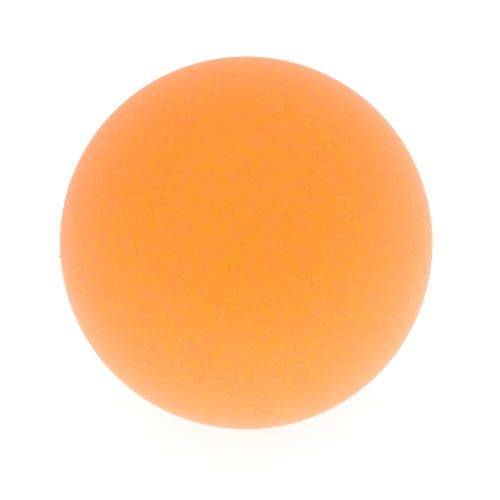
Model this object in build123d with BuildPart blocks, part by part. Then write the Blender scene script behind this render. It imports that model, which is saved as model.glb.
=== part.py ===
from build123d import *
import math
import os

# Table tennis ball, seamed plastic type: two thin half shells that lap at the equator, closed by
# one ring of cement. Millimetres, origin at the centre of the ball, +Z along the pole axis, so the
# seam lies in the XY plane. The lower shell's spigot stands up inside the upper shell's skirt.

# ---- Driving dimensions -------------------------------------------------------------------------
BALL_DIAMETER = 40.0  # playing size
WALL = 0.495  # wall of each half shell away from the seam
RIM_WALL = 0.75  # wall at the equator, where the inside is a short straight land
LAND_BLEND = 8.0  # radius that runs the straight land into the spherical inside

LAP = 0.90  # height of the lap above the seam plane, to the middle of the film over the spigot
SPIGOT_WALL = 0.34  # thickness of the lower shell's spigot
SPIGOT_LEAD = 0.10  # lead-in chamfer on the spigot's outer top edge
FILM = 0.04  # cement film in the lap
SEAM_CHAMFER = 0.09  # small chamfer on each shell's outer edge, which the cement fills
SEAM_DIP = 0.012  # how far the cured cement sits below the sphere at the seam plane

BEAD_UP = 0.34  # squeeze-out bead inside: its reach up the land from the step face,
BEAD_DOWN = 0.26  # its reach down from the top of the spigot,
BEAD_PROUD = 0.20  # and how far it stands into the ball

# ---- Derived: r is a radius from the pole axis, z a height above the seam plane -------------------
r_out = BALL_DIAMETER / 2
r_in = r_out - WALL
r_land = r_out - RIM_WALL
z_land = math.sqrt(r_in**2 - r_land**2)  # where the straight land would meet the spherical inside
r_spigot = r_land + SPIGOT_WALL
r_skirt = r_spigot + FILM
z_gap = FILM / 2
z_edge = z_gap + SEAM_CHAMFER  # where each chamfer meets the sphere
r_edge = math.sqrt(r_out**2 - z_edge**2)
r_shoulder = r_out - SEAM_CHAMFER  # where each chamfer meets the flat seam face
z_top = LAP - z_gap  # top of the spigot
z_step = LAP + z_gap  # step face inside the upper shell that the spigot stops under
diagonal = math.sqrt(0.5)  # sine and cosine of 45 degrees, for the middle of a quarter arc

# ---- Lap outlines, (r, z) from the land out to the chamfer; shell and cement share each one --------
SKIRT_OUTLINE = [
    (r_land, z_step),
    (r_skirt, z_step),
    (r_skirt, z_gap),
    (r_shoulder, z_gap),
]
SPIGOT_OUTLINE = [
    (r_land, z_top),
    (r_spigot - SPIGOT_LEAD, z_top),
    (r_spigot, z_top - SPIGOT_LEAD),
    (r_spigot, -z_gap),
    (r_shoulder, -z_gap),
]


def make_half_shell(side, lap_outline):
    """Half shell above (side = 1) or below (side = -1) the seam, with its lap outline at the rim."""
    outer_edge = (r_edge, side * z_edge)
    outer_pole = (0, side * r_out)
    inner_pole = (0, side * r_in)
    land_end = (r_land, side * z_land)

    with BuildPart() as shell:
        with BuildSketch(Plane.XZ) as profile:
            with BuildLine():
                ThreePointArc(outer_edge, (r_out * diagonal, side * r_out * diagonal), outer_pole)
                Line(outer_pole, inner_pole)
                ThreePointArc(inner_pole, (r_in * diagonal, side * r_in * diagonal), land_end)
                Polyline(land_end, *lap_outline, outer_edge)
            make_face()
            # Sketch vertices are in the sketch's own plane, so their third coordinate is 0
            land_corner = profile.vertices().sort_by_distance((*land_end, 0))[0]
            fillet(land_corner, LAND_BLEND)
        revolve(axis=Axis.Z)
    return shell.part


def make_seam_cement():
    """One ring that fills the chamfers and the lap film, with the bead inside the ball."""
    upper_edge = (r_edge, z_edge)
    lower_edge = (r_edge, -z_edge)
    bead_top = (r_land, z_step + BEAD_UP)
    bead_bottom = (r_land, z_top - BEAD_DOWN)

    with BuildPart() as cement:
        with BuildSketch(Plane.XZ):
            with BuildLine():
                ThreePointArc(lower_edge, (r_out - SEAM_DIP, 0), upper_edge)
                Polyline(upper_edge, *reversed(SKIRT_OUTLINE), bead_top)
                ThreePointArc(bead_top, (r_land - BEAD_PROUD, LAP), bead_bottom)
                Polyline(bead_bottom, *SPIGOT_OUTLINE, lower_edge)
            make_face()
        revolve(axis=Axis.Z)
    return cement.part


# ---- One STEP file per piece ----------------------------------------------------------------------
pieces = {
    "upper_half_shell": make_half_shell(side=1, lap_outline=SKIRT_OUTLINE),
    "lower_half_shell": make_half_shell(side=-1, lap_outline=SPIGOT_OUTLINE),
    "seam_cement": make_seam_cement(),
}

os.makedirs("parts", exist_ok=True)
for name, part in pieces.items():
    part.label = name
    export_step(part, f"parts/{name}.step")
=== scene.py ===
# A table tennis ball: two thin half shells lapped at the equator and a ring of cement between
# them. The origin is the ball's centre, +Z runs through the poles and the camera looks from -Y.
# Shapes are worked out in millimetres and become metres when a mesh is written.
# The studio at the end is in metres.

import math
import bpy
import numpy as np
from mathutils import Matrix, Vector, noise


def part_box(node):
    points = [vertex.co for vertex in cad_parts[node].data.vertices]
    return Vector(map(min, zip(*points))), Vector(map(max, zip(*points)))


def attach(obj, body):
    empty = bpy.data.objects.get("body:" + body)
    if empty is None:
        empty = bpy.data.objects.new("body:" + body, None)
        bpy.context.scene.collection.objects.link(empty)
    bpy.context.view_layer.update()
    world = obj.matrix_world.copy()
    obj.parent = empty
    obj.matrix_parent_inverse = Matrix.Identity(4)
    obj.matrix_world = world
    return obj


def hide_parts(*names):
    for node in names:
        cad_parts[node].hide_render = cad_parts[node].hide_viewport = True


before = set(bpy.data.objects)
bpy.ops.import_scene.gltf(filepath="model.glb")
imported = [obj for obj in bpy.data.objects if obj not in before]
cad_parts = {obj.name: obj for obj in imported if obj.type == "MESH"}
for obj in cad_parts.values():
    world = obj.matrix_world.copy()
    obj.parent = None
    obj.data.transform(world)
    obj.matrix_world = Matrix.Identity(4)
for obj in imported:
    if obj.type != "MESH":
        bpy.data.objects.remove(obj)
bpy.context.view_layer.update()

MM = 0.001
LOWER_LO, LOWER_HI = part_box("lower_half_shell")
UPPER_LO, UPPER_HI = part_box("upper_half_shell")

R = UPPER_HI.z / MM  # outside radius, 20
LAND_R = R - 0.75  # straight land inside, at the equator
WALL = 0.495
INSIDE_R = R - WALL
BLEND_R = 8.0  # arc between the land and the inside sphere

LAP_CLEARANCE = 0.04
SPIGOT_TOP = LOWER_HI.z / MM  # 0.88, top of the lower shell's spigot
SPIGOT_R = LAND_R + 0.34
SPIGOT_CHAMFER = 0.10
STEP_Z = SPIGOT_TOP + LAP_CLEARANCE  # step inside the upper shell, above the spigot
SKIRT_R = SPIGOT_R + LAP_CLEARANCE  # inner face of the upper shell's skirt
GAP_Z = UPPER_LO.z / MM  # 0.02, half the cement film
CHAMFER = 0.09
CHAMFER_R = R - CHAMFER
EDGE_Z = GAP_Z + CHAMFER  # where each chamfer meets the sphere

COLUMNS_INSIDE = 66  # quads along a quarter of the equator
COLUMNS = 2 * COLUMNS_INSIDE  # the same outside
FINE_STEPS = (0.02, 0.03, 0.045, 0.065, 0.09, 0.12, 0.15, 0.19)  # first rows above the seam
PARALLEL_LAT = math.radians(4)  # rows up to here are true parallels

# Unevenness of a shell: (height, size of the features)
OUTSIDE_WAVES = ((0.0045, 11.0), (0.0016, 3.4), (0.0007, 1.1))
INSIDE_WAVES = ((0.010, 9.0), (0.003, 2.2))
SEAM_FADE = 1.2  # the outside waves die out over this length towards the seam
BAND_LOW, BAND_WIDTH, BAND_START = 0.0035, 0.55, 0.06  # polished band beside the seam
INSIDE_FADE_FROM, INSIDE_FADE_OVER = 8, 10  # degrees of latitude


# ---------------------------------------------------------------- noise and meshes
def fbm(points, size, octaves, seed):
    """Smooth noise of about -1 to 1 at points (n x 3), with features of about size."""
    values = np.empty(len(points))
    shift = Vector((seed * 17.31, seed * 5.77, seed * 11.13))
    for i, point in enumerate(points):
        place = Vector(point) / size + shift
        total, gain, gain_sum = 0.0, 1.0, 0.0
        for _ in range(octaves):
            total += gain * noise.noise(place)
            gain_sum += gain
            place = place * 2.03 + Vector((3.1, 7.7, 1.9))
            gain *= 0.5
        values[i] = total / gain_sum * 1.6
    return values


def waves(points, table, seed):
    return sum(height * fbm(points, size, 2, seed + i) for i, (height, size) in enumerate(table))


def build(name, points, faces, sharp_deg):
    mesh = bpy.data.meshes.new(name)
    mesh.from_pydata((points * MM).tolist(), [], faces)
    mesh.validate()
    mesh.update()
    mesh.shade_smooth()
    mesh.set_sharp_from_angle(angle=math.radians(sharp_deg))
    return link(name, mesh)


def link(name, data):
    thing = bpy.data.objects.new(name, data)
    bpy.context.scene.collection.objects.link(thing)
    return thing


# ---------------------------------------------------------------- one hemisphere of clean quads
def cap(columns, rows):
    """A hemisphere with no pole pinch: four side panels and a square top panel.

    rows lists the side panels' latitudes at their middle, up to 45 degrees.
    Returns unit directions, quads that face outwards, and the first parallel's vertices in
    order of azimuth.
    """
    quarter = math.pi / 4
    angles = [-quarter + 2 * quarter * i / columns for i in range(columns + 1)]
    points, index, quads = [], {}, []

    def vertex(direction):
        key = tuple(round(part, 6) for part in direction)
        if key not in index:
            index[key] = len(points)
            points.append(direction)
        return index[key]

    def add_quads(grid):
        for near, far in zip(grid, grid[1:]):
            for i in range(columns):
                quads.append((near[i], near[i + 1], far[i + 1], far[i]))

    for panel in range(4):
        grid = []
        for row in rows:
            weight = max(0.0, (row - PARALLEL_LAT) / (quarter - PARALLEL_LAT))
            line = []
            for angle in angles:
                azimuth = panel * math.pi / 2 + angle
                lat = row + weight * (math.atan(math.cos(angle)) - quarter)
                x = math.cos(lat) * math.cos(azimuth)
                y = math.cos(lat) * math.sin(azimuth)
                line.append(vertex((x, y, math.sin(lat))))
            grid.append(line)
        add_quads(grid)

    grid = []
    for y in map(math.tan, angles):
        line = []
        for x in map(math.tan, angles):
            length = math.sqrt(x * x + y * y + 1)
            line.append(vertex((x / length, y / length, 1 / length)))
        grid.append(line)
    add_quads(grid)

    first = [i for i, point in enumerate(points) if abs(point[2] - math.sin(rows[0])) < 1e-6]
    first.sort(key=lambda i: math.atan2(points[i][1], points[i][0]))
    return np.array(points), quads, first


def latitudes(first, columns, fine=()):
    """Latitudes from first to 45 degrees: the fine steps (lengths on the sphere), then even ones."""
    even_step = math.pi / 2 * R / columns
    rows = [first]
    for length in fine:
        rows.append(rows[-1] + length / R)
    rest = math.pi / 4 - rows[-1]
    count = max(2, round(rest * R / even_step))
    return rows + [rows[-1] + rest * (k + 1) / count for k in range(count)]


# ---------------------------------------------------------------- half shells
def inside_radius(lat):
    """Distance from the centre to the wall's inside: straight land, blend arc, sphere."""
    lat = abs(lat)
    centre_r = LAND_R - BLEND_R
    centre_z = math.sqrt((INSIDE_R - BLEND_R) ** 2 - centre_r**2)
    if math.tan(lat) * LAND_R <= centre_z:
        return LAND_R / math.cos(lat)
    if lat >= math.atan2(centre_z, centre_r):
        return INSIDE_R
    along = centre_r * math.cos(lat) + centre_z * math.sin(lat)
    off = centre_r**2 + centre_z**2 - BLEND_R**2
    return along + math.sqrt(along**2 - off)


def outside_points(directions, flip, seed):
    """A slightly uneven sphere that runs true at the seam, with the polished band a touch low."""
    height = waves(directions * R * flip, OUTSIDE_WAVES, seed)
    past_edge = np.arcsin(directions[:, 2]) * R - EDGE_Z
    fade = np.clip(past_edge / SEAM_FADE, 0, 1)
    fade = fade * fade * (3 - 2 * fade)
    band = np.exp(-((past_edge / BAND_WIDTH) ** 2)) * np.clip(past_edge / BAND_START, 0, 1)
    radius = R + height * fade - BAND_LOW * band
    return directions * radius[:, None]


def inside_points(directions, flip, seed):
    """Land, blend and sphere, where the wall varies a little away from the seam."""
    lats = np.arcsin(np.clip(directions[:, 2], -1, 1))
    base = np.array([inside_radius(lat) for lat in lats])
    height = waves(directions * base[:, None] * flip, INSIDE_WAVES, seed)
    fade = np.clip((np.degrees(lats) - INSIDE_FADE_FROM) / INSIDE_FADE_OVER, 0, 1)
    return directions * (base + fade * height)[:, None]


def shell(name, sign, profile, inside_z, seed):
    """A half shell as one closed mesh, made pole up and mirrored in Z where sign is -1.

    profile lists the rings (radius, height) from the outer edge round the lap to the inner
    edge, and inside_z is where the inside starts on the land. Heights rise towards the
    shell's own pole.
    """
    flip = np.array([1.0, 1.0, sign])
    rows_out = latitudes(math.asin(EDGE_Z / R), COLUMNS, FINE_STEPS)
    rows_in = latitudes(math.atan2(inside_z, LAND_R), COLUMNS_INSIDE)
    out_dirs, faces, ring = cap(COLUMNS, rows_out)
    in_dirs, in_quads, in_ring = cap(COLUMNS_INSIDE, rows_in)

    verts = [outside_points(out_dirs, flip, seed)]
    count = len(out_dirs)
    azimuths = np.array([math.atan2(out_dirs[i][1], out_dirs[i][0]) for i in ring])
    size = len(ring)
    for radius, z in profile:
        x, y = np.cos(azimuths) * radius, np.sin(azimuths) * radius
        verts.append(np.stack([x, y, np.full(size, z)], 1))
        following = list(range(count, count + size))
        count += size
        for i in range(size):
            k = (i + 1) % size
            faces.append((ring[k], ring[i], following[i], following[k]))
        ring = following

    verts.append(inside_points(in_dirs, flip, seed + 3))
    faces += [tuple(reversed([i + count for i in quad])) for quad in in_quads]

    # Two outer columns meet each inner one.
    first_azimuth = math.atan2(in_dirs[in_ring[0]][1], in_dirs[in_ring[0]][0])
    start = min(
        range(size), key=lambda i: abs(math.remainder(azimuths[i] - first_azimuth, math.tau))
    )
    in_ring = [i + count for i in in_ring]
    for k, here in enumerate(in_ring):
        ahead = in_ring[(k + 1) % len(in_ring)]
        left, middle, right = (ring[(start + 2 * k + m) % size] for m in range(3))
        faces += [(middle, left, here), (middle, here, ahead), (right, middle, ahead)]
    if sign < 0:
        faces = [tuple(reversed(face)) for face in faces]
    return build(name, np.concatenate(verts) * flip, faces, sharp_deg=28)


# (radius, height towards the shell's pole)
UPPER_LAP = [
    (CHAMFER_R, GAP_Z),
    (SKIRT_R + 0.01, GAP_Z),
    (SKIRT_R, GAP_Z + 0.01),
    (SKIRT_R, 0.3),
    (SKIRT_R, 0.6),
    (SKIRT_R, STEP_Z - 0.01),
    (SKIRT_R - 0.01, STEP_Z),
    (LAND_R + 0.16, STEP_Z),
    (LAND_R + 0.012, STEP_Z),
    (LAND_R, STEP_Z + 0.012),
]
LOWER_LAP = [
    (CHAMFER_R, GAP_Z),
    (SPIGOT_R + 0.01, GAP_Z),
    (SPIGOT_R, GAP_Z - 0.01),
    (SPIGOT_R, -0.25),
    (SPIGOT_R, -0.5),
    (SPIGOT_R, -SPIGOT_TOP + SPIGOT_CHAMFER),
    (SPIGOT_R - SPIGOT_CHAMFER, -SPIGOT_TOP),
    (LAND_R + 0.012, -SPIGOT_TOP),
    (LAND_R, -SPIGOT_TOP + 0.012),
]

# ---------------------------------------------------------------- the cement ring
AIR = 0.002  # the cement keeps this far off the shells, so that no two surfaces coincide

MENISCUS_HALF = EDGE_Z - 0.0045  # half height of the outer face
MENISCUS_R = math.sqrt(R**2 - MENISCUS_HALF**2) - 0.0015
MENISCUS_HOLLOW, HOLLOW_VARIES = 0.0075, 0.0035

BEAD_TOP, BEAD_BOTTOM = STEP_Z + 0.34, SPIGOT_TOP - 0.26
BEAD_MID, BEAD_HALF = (BEAD_TOP + BEAD_BOTTOM) / 2, (BEAD_TOP - BEAD_BOTTOM) / 2 - 0.01
BEAD_R = LAND_R - 0.004
BEAD_PROUD, PROUD_VARIES, LIFT_VARIES = 0.175, 0.03, 0.02

NIB_AZ = math.pi + 0.048  # a nib of flash on the seam, at -X and a little towards the camera
NIB_OUT, NIB_LONG, NIB_HIGH = 0.145, 0.13, 0.10
NIB_SPAN = 0.032  # radians to each side with finer columns

# (radius, height): the film from the upper chamfer up the skirt and in over the spigot
UPPER_FILM = [
    (CHAMFER_R, GAP_Z - AIR),
    (SKIRT_R + 0.009, GAP_Z - AIR),
    (SKIRT_R - AIR, GAP_Z + 0.009),
    (SKIRT_R - AIR, 0.3),
    (SKIRT_R - AIR, 0.6),
    (SKIRT_R - AIR, STEP_Z - 0.012),
    (SKIRT_R - 0.012, STEP_Z - AIR),
    (LAND_R + 0.15, STEP_Z - AIR),
    (LAND_R - AIR, STEP_Z - AIR),
]
# and back from the land over the spigot to the lower chamfer
LOWER_FILM = [
    (LAND_R - AIR, SPIGOT_TOP + AIR),
    (LAND_R + 0.15, SPIGOT_TOP + AIR),
    (SPIGOT_R - SPIGOT_CHAMFER, SPIGOT_TOP + AIR),
    (SPIGOT_R + AIR, SPIGOT_TOP - SPIGOT_CHAMFER),
    (SPIGOT_R + AIR, 0.6),
    (SPIGOT_R + AIR, 0.3),
    (SPIGOT_R + AIR, -GAP_Z + 0.03),
    (SPIGOT_R + 0.03, -GAP_Z + AIR),
    (CHAMFER_R, -GAP_Z + AIR),
]


def from_nib(azimuths):
    """Signed angle from the nib."""
    return np.remainder(azimuths - NIB_AZ + math.pi, math.tau) - math.pi


def cement(name):
    """One closed mesh: outer meniscus, film in the lap and the bead squeezed out inside."""
    even = np.arange(0, math.tau, math.tau / 720)
    even = even[np.abs(from_nib(even)) > NIB_SPAN + 0.001]
    near = NIB_AZ + np.linspace(-NIB_SPAN, NIB_SPAN, 65)
    azimuths = np.sort(np.remainder(np.concatenate([even, near]), math.tau))
    size = len(azimuths)
    circle = np.stack([np.cos(azimuths), np.sin(azimuths), np.zeros(size)], 1)
    level = fbm(circle * R, 2.6, 3, 41)  # how full the groove is, round the ball
    swell = fbm(circle * R, 5.0, 3, 47)  # how far the bead was squeezed out
    lift = fbm(circle * R, 3.5, 2, 53)  # how high the bead sits
    nib_along = np.exp(-((from_nib(azimuths) * R / NIB_LONG) ** 2) * 1.2)

    def meniscus(degrees):
        z = MENISCUS_HALF * math.sin(math.radians(degrees))
        bow = 1 - (z / MENISCUS_HALF) ** 2
        radius = MENISCUS_R - (MENISCUS_HOLLOW + HOLLOW_VARIES * level) * bow
        return radius + NIB_OUT * nib_along * math.exp(-((z / NIB_HIGH) ** 2) * 1.6), z

    def bead(degrees):
        angle = math.radians(degrees)
        radius = BEAD_R - (BEAD_PROUD + PROUD_VARIES * swell) * math.cos(angle)
        z = BEAD_MID + LIFT_VARIES * lift * math.cos(angle) + BEAD_HALF * math.sin(angle)
        return radius, z

    rings = [
        (MENISCUS_R, -MENISCUS_HALF),
        *map(meniscus, np.linspace(-72, 72, 13)),
        (MENISCUS_R, MENISCUS_HALF),
        *UPPER_FILM,
        *map(bead, np.linspace(86, -86, 17)),
        *LOWER_FILM,
    ]
    points, faces = [], []
    for j, (radius, z) in enumerate(rings):
        x, y = circle[:, 0] * radius, circle[:, 1] * radius
        points.append(np.stack([x, y, np.full(size, z)], 1))
        this, after = j * size, (j + 1) % len(rings) * size
        for i in range(size):
            k = (i + 1) % size
            faces.append((this + i, this + k, after + k, after + i))
    return build(name, np.concatenate(points), faces, sharp_deg=34)


upper = shell("upper_shell", 1.0, UPPER_LAP, inside_z=STEP_Z + 0.03, seed=3)
lower = shell("lower_shell", -1.0, LOWER_LAP, inside_z=-SPIGOT_TOP + 0.03, seed=11)
ring = cement("seam_ring")


# ---------------------------------------------------------------- materials
class Nodes:
    """Short calls for building a node tree."""

    def __init__(self, tree):
        self.tree = tree

    def add(self, kind, **settings):
        node = self.tree.nodes.new(kind)
        for key, value in settings.items():
            setattr(node, key, value)
        return node

    def find(self, kind):
        return next(node for node in self.tree.nodes if node.type == kind)

    def put(self, socket, value):
        if isinstance(value, bpy.types.NodeSocket):
            self.tree.links.new(value, socket)
        elif value is not None:
            socket.default_value = value

    def put_all(self, node, values):
        for key, value in values.items():
            self.put(node.inputs[key], value)

    def maths(self, operation, *values, clamp=False):
        node = self.add("ShaderNodeMath", operation=operation, use_clamp=clamp)
        for socket, value in zip(node.inputs, values):
            self.put(socket, value)
        return node.outputs[0]

    def scaled(self, value, by, plus, clamp=False):
        return self.maths("MULTIPLY_ADD", value, by, plus, clamp=clamp)

    def ramp(self, value, start, end, low=0.0, high=1.0, kind="SMOOTHSTEP"):
        """Goes from low to high as value goes from start to end."""
        node = self.add("ShaderNodeMapRange", interpolation_type=kind)
        limits = {"From Min": start, "From Max": end, "To Min": low, "To Max": high}
        self.put_all(node, {"Value": value, **limits})
        return node.outputs["Result"]

    def noise(self, vector, per_mm, detail=2.0, rough=0.5, shift=0.0):
        """About -1 to 1."""
        moved = self.add("ShaderNodeVectorMath", operation="ADD")
        self.put(moved.inputs[0], vector)
        moved.inputs[1].default_value = (shift, shift * 1.7 + 3.0, -shift * 0.6)
        node = self.add("ShaderNodeTexNoise", noise_dimensions="3D", normalize=True)
        values = {"Scale": per_mm, "Detail": detail, "Roughness": rough}
        self.put_all(node, {"Vector": moved.outputs[0], **values})
        return self.scaled(node.outputs["Fac"], by=4.0, plus=-2.0)

    def mix(self, factor, first, second, kind="MIX"):
        node = self.add("ShaderNodeMix", data_type="RGBA", blend_type=kind)
        self.put(node.inputs["Factor"], factor)
        for name, value in (("A", first), ("B", second)):
            self.put(next(s for s in node.inputs if s.name == name and s.type == "RGBA"), value)
        return next(s for s in node.outputs if s.type == "RGBA")

    def separate_xyz(self, vector):
        node = self.add("ShaderNodeSeparateXYZ")
        self.put(node.inputs[0], vector)
        return node.outputs

    def combine_colour(self, *channels):
        node = self.add("ShaderNodeCombineColor")
        for socket, value in zip(node.inputs[:3], channels):
            self.put(socket, value)
        return node.outputs[0]


def new_material(name):
    mat = bpy.data.materials.new(name)
    mat.use_nodes = True
    return mat, Nodes(mat.node_tree)


def pigment_specks(nodes, mm):
    """1 in a small spot in about one cell out of five."""
    cells = nodes.add("ShaderNodeTexVoronoi", feature="F1")
    nodes.put_all(cells, {"Vector": mm, "Scale": 0.85})
    split = nodes.add("ShaderNodeSeparateColor")
    nodes.put(split.inputs[0], cells.outputs["Color"])
    chosen = nodes.ramp(split.outputs[0], start=0.80, end=0.82, kind="LINEAR")
    spot = nodes.ramp(cells.outputs["Distance"], start=0.05, end=0.16, low=1.0, high=0.0)
    return nodes.maths("MULTIPLY", chosen, spot)


def shade_seam(nodes, mm, value):
    """Deepens the value near the seam: the polished band's own deeper tone, and painted shade where
    the wall thickens and doubles in the lap. Returns it and the mask of the polished band.
    """
    z = nodes.separate_xyz(mm)["Z"]
    off = nodes.maths("ABSOLUTE", z)
    band = nodes.ramp(off, start=0.35, end=1.15, low=1.0, high=0.0)
    value = nodes.scaled(band, by=-0.012, plus=value)
    # Painted shade: the wall thickens towards the seam, and is double in the lap just above it, so
    # less light comes through there.
    thick_wall_shade = nodes.ramp(off, start=0.8, end=4.2, low=1.0, high=0.0)
    value = nodes.scaled(thick_wall_shade, by=-0.014, plus=value)
    lap_from = nodes.ramp(z, start=-0.1, end=0.1)
    lap_to = nodes.ramp(z, start=0.75, end=1.2, low=1.0, high=0.0)
    lap = nodes.maths("MULTIPLY", lap_from, lap_to)
    return nodes.scaled(lap, by=-0.010, plus=value), band


def plastic(name, base, tint, roughness, sheen, shift, seam_zone=True):
    """Orange styrenic plastic with a frosted, tumbled surface.

    It has clouding, a fine mottle and grain, a few pigment specks and, with seam_zone, the smoother,
    slightly deeper band that trimming and polishing leave, with painted shade where the wall
    thickens towards the seam and doubles in the lap.
    base and tint are the linear colours of its yellower and pinker patches.
    """
    mat, nodes = new_material(name)
    nodes.tree.nodes.clear()
    out = nodes.add("ShaderNodeOutputMaterial")
    bsdf = nodes.add("ShaderNodeBsdfPrincipled")
    nodes.put(out.inputs["Surface"], bsdf.outputs[0])
    where = nodes.add("ShaderNodeTexCoord").outputs["Object"]
    scale = nodes.add("ShaderNodeVectorMath", operation="SCALE")
    nodes.put(scale.inputs[0], where)
    scale.inputs["Scale"].default_value = 1000.0
    mm = scale.outputs[0]

    cloud = nodes.noise(mm, per_mm=0.11, shift=shift)
    mottle = nodes.noise(mm, per_mm=0.75, shift=shift + 9)
    grain = nodes.noise(mm, per_mm=2.9, detail=1.0, rough=0.55, shift=shift + 21)
    fine = nodes.noise(mm, per_mm=6.0, detail=1.0, shift=shift + 33)
    # The grain is stronger in some patches than in others.
    patches = nodes.noise(mm, per_mm=0.45, detail=1.0, shift=shift + 60)
    patches = nodes.scaled(patches, by=0.6, plus=1.0)
    grain = nodes.maths("MULTIPLY", grain, nodes.maths("MAXIMUM", patches, 0.25))

    value = 1.0
    for layer, strength in ((cloud, 0.005), (mottle, 0.008), (grain, 0.158), (fine, 0.024)):
        value = nodes.scaled(layer, by=strength, plus=value)
    value = nodes.scaled(pigment_specks(nodes, mm), by=-0.020, plus=value)
    if seam_zone:
        # The polished band's deeper tone, plus painted shade at the thicker wall and the lap.
        value, band = shade_seam(nodes, mm, value)

    hue = nodes.noise(mm, per_mm=0.6, rough=0.6, shift=shift + 51)
    hue = nodes.scaled(hue, by=0.6, plus=0.47, clamp=True)
    colour = nodes.mix(hue, (*base, 1), (*tint, 1))
    # Pigment changes the green and blue it takes away more than the red it sends back.
    grey = nodes.combine_colour(nodes.scaled(value, by=0.5, plus=0.5), value, value)
    colour = nodes.mix(1.0, colour, grey, "MULTIPLY")

    rough = nodes.scaled(mottle, by=0.018, plus=roughness)
    rough = nodes.scaled(grain, by=0.022, plus=rough)
    if seam_zone:
        rough = nodes.scaled(band, by=-0.07, plus=rough)

    relief = nodes.scaled(grain, by=0.6, plus=nodes.maths("MULTIPLY", fine, 0.25))
    relief = nodes.scaled(mottle, by=0.8, plus=relief)
    bump = nodes.add("ShaderNodeBump")
    nodes.put_all(bump, {"Strength": 1.0, "Distance": 0.0000022, "Height": relief})

    nodes.put_all(bsdf, {
        "Base Color": colour,
        "Roughness": rough,
        "Normal": bump.outputs[0],
        "IOR": 1.5,
        "Specular Tint": (1.0, 0.88, 0.52, 1),
        "Sheen Weight": sheen,  # the pale veil of a frosted surface seen at a low angle
        "Sheen Roughness": 0.5,
        "Sheen Tint": (1.0, 0.90, 0.97, 1),
        "Subsurface Weight": 0.22,
        "Subsurface Radius": (1.0, 0.45, 0.12),
        "Subsurface Scale": 0.00035,
    })
    return mat


SHELL_LOOK = {
    "base": (0.965, 0.244, 0.000),
    "tint": (0.965, 0.233, 0.025),
    "roughness": 0.55,
    "sheen": 0.28,
}
CEMENT_LOOK = {
    "base": (0.955, 0.229, 0.002),
    "tint": (0.957, 0.236, 0.012),
    "roughness": 0.46,
    "sheen": 0.22,
    "seam_zone": False,
}
upper_plastic = plastic("shell_plastic_upper", shift=0.0, **SHELL_LOOK)
lower_plastic = plastic("shell_plastic_lower", shift=71.0, **SHELL_LOOK)
cured_cement = plastic("seam_cement_cured", shift=140.0, **CEMENT_LOOK)

for piece, material, part, slot in (
    (upper, upper_plastic, "upper_half_shell", "shell_plastic"),
    (lower, lower_plastic, "lower_half_shell", "shell_plastic"),
    (ring, cured_cement, "seam_cement", "seam_cement"),
):
    piece.data.materials.append(material)
    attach(piece, "root")
    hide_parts(part)


# ---------------------------------------------------------------- studio
# The ball stands on an evenly lit white table inside a white light tent. The camera sees table
# and tent as plain white, with a faint contact shadow. The ball is lit by the table's glow
# and the tent's soft panels.
FLOOR_Z = LOWER_LO.z
FLOOR_RADII = (0.01, 0.02, 0.03, 0.045, 0.07, 0.11, 0.18, 0.3, 0.5, 0.9, 1.6, 3.0, 6.0)
FLOOR_SIDES = 96

VIEW_ELEVATION = math.radians(45.6)
TO_CAMERA = Vector((0.0, -math.cos(VIEW_ELEVATION), math.sin(VIEW_ELEVATION)))

TABLE_BASE = (0.60, 0.60, 0.60, 1)  # as it lights the ball
SEEN_BASE, SEEN_GLOW = (0.30, 0.362, 0.47, 1), 0.75  # as the camera sees it
GLOW_NEAR = 0.776  # round the ball's foot
# Further out: level, rise towards +X, rise towards +Y
GLOW_MID = (0.735, 0.150, -0.585)
GLOW_FAR = (0.681, 0.283, -0.398)
MID_FROM, FAR_FROM = 0.035, 0.120  # radii where the glow changes over
GLOW_BLUE = 1.25  # the table's light is a little cooler than the tent's

TENT_LEVEL, TENT_BLUE = 0.731, 0.885
LOBE_TIGHTNESS = 5.0  # a panel falls to half about 30 degrees from its middle
# Direction of a soft panel, level added at its middle, and its blue against that
TENT_PANELS = (
    (TO_CAMERA, -0.234, 1.4),
    (Vector((0, 0, 1)), 1.089, 0.885),  # top
    (Vector((1, 0, 0.2)), 0.438, 1.2),  # right
    (Vector((1, -1, 0.5)), 0.199, 1.15),  # front right
    (Vector((-1, -1, 0.5)), 0.737, 1.1),  # front left
    (Vector((0, -1, 0.15)), -0.18, 1.4),  # front low
)


def studio_floor(name):
    """A flat disc: a fan of triangles, then rings of quads."""
    sides = FLOOR_SIDES
    verts = [(0, 0, FLOOR_Z)]
    for radius in FLOOR_RADII:
        for i in range(sides):
            angle = 2 * math.pi * i / sides
            verts.append((radius * math.cos(angle), radius * math.sin(angle), FLOOR_Z))
    faces = [(0, 1 + i, 1 + (i + 1) % sides) for i in range(sides)]
    for j in range(len(FLOOR_RADII) - 1):
        near, far = 1 + j * sides, 1 + (j + 1) * sides
        for i in range(sides):
            k = (i + 1) % sides
            faces.append((near + i, far + i, far + k, near + k))
    disc = bpy.data.meshes.new(name)
    disc.from_pydata(verts, [], faces)
    disc.update()
    return link(name, disc)


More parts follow.
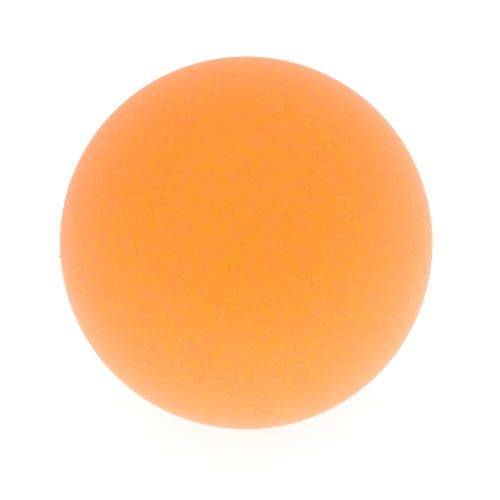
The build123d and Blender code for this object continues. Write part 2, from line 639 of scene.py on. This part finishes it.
def table_white(name):
    mat, nodes = new_material(name)
    seen = nodes.add("ShaderNodeLightPath").outputs["Is Camera Ray"]
    glow_colour = nodes.mix(seen, (1, 1, GLOW_BLUE, 1), (1, 1, 1, 1))
    base = nodes.mix(seen, TABLE_BASE, SEEN_BASE)
    where = nodes.separate_xyz(nodes.add("ShaderNodeTexCoord").outputs["Object"])
    x, y = where["X"], where["Y"]
    x_squared, y_squared = nodes.maths("MULTIPLY", x, x), nodes.maths("MULTIPLY", y, y)
    off = nodes.maths("SQRT", nodes.maths("ADD", x_squared, y_squared))
    off = nodes.maths("MAXIMUM", off, 0.0001)
    along_x, along_y = nodes.maths("DIVIDE", x, off), nodes.maths("DIVIDE", y, off)
    log_off = nodes.maths("LOGARITHM", off, math.e)

    def step(radius):
        return nodes.ramp(log_off, start=math.log(radius * 0.75), end=math.log(radius * 1.33))

    def glow(level, rise_x, rise_y):
        tilted = nodes.scaled(along_x, by=rise_x, plus=level)
        return nodes.scaled(along_y, by=rise_y, plus=tilted)

    def without(mask):
        return nodes.maths("SUBTRACT", 1.0, mask)

    past_near, past_mid = step(MID_FROM), step(FAR_FROM)
    shine = nodes.maths("MULTIPLY", without(past_near), GLOW_NEAR)
    between = nodes.maths("MULTIPLY", past_near, without(past_mid))
    shine = nodes.scaled(between, by=glow(*GLOW_MID), plus=shine)
    shine = nodes.scaled(past_mid, by=glow(*GLOW_FAR), plus=shine)
    seen_shine = nodes.maths("MULTIPLY", seen, SEEN_GLOW)
    shine = nodes.maths("ADD", seen_shine, nodes.maths("MULTIPLY", without(seen), shine))

    nodes.put_all(nodes.find("BSDF_PRINCIPLED"), {
        "Base Color": base,
        "Roughness": 0.7,
        "Specular IOR Level": 0.15,
        "Emission Color": glow_colour,
        "Emission Strength": shine,
    })
    return mat


def light_tent(name):
    world = bpy.data.worlds.new(name)
    world.use_nodes = True
    nodes = Nodes(world.node_tree)
    direction = nodes.add("ShaderNodeTexCoord").outputs["Generated"]
    level, blue = TENT_LEVEL, TENT_LEVEL * TENT_BLUE
    for axis, rise, tint in TENT_PANELS:
        dot = nodes.add("ShaderNodeVectorMath", operation="DOT_PRODUCT")
        nodes.put(dot.inputs[0], direction)
        dot.inputs[1].default_value = axis.normalized()
        lobe = nodes.scaled(dot.outputs["Value"], by=LOBE_TIGHTNESS, plus=-LOBE_TIGHTNESS)
        lobe = nodes.maths("EXPONENT", lobe)
        level = nodes.scaled(lobe, by=rise, plus=level)
        blue = nodes.scaled(lobe, by=rise * tint, plus=blue)
    seen = nodes.add("ShaderNodeLightPath").outputs["Is Camera Ray"]
    channels = [nodes.maths("MAXIMUM", channel, seen) for channel in (level, level, blue)]
    tone = nodes.combine_colour(*channels)
    nodes.put_all(nodes.find("BACKGROUND"), {"Color": tone, "Strength": 1.0})
    return world


scene = bpy.context.scene
floor = studio_floor("studio_floor")
floor.data.materials.append(table_white("studio_table_white"))
scene.world = light_tent("light_tent")

# ---------------------------------------------------------------- camera
VIEW_ROLL = math.radians(2.17)
OUTLINE_SLOPE = 0.03357  # tangent of the angle between the ball's centre and its outline
AIM = Vector((0.0006804, -0.001296, -1.0))  # line of sight, a little off the ball's centre

camera = bpy.data.cameras.new("camera")
camera.lens = 400.0
camera.sensor_width = 36.0
camera.clip_start, camera.clip_end = 0.05, 20.0
camera_object = link("camera", camera)
distance = R * MM / math.sin(math.atan(OUTLINE_SLOPE))
look = (-TO_CAMERA).to_track_quat("-Z", "Y").to_matrix()
look = look @ Matrix.Rotation(-VIEW_ROLL, 3, "Z")
turn = (-TO_CAMERA).rotation_difference((look @ AIM).normalized()).to_matrix()
look = turn @ look
camera_object.matrix_world = Matrix.Translation(TO_CAMERA * distance) @ look.to_4x4()
scene.camera = camera_object
scene.view_settings.view_transform = "Standard"
scene.view_settings.look = "None"
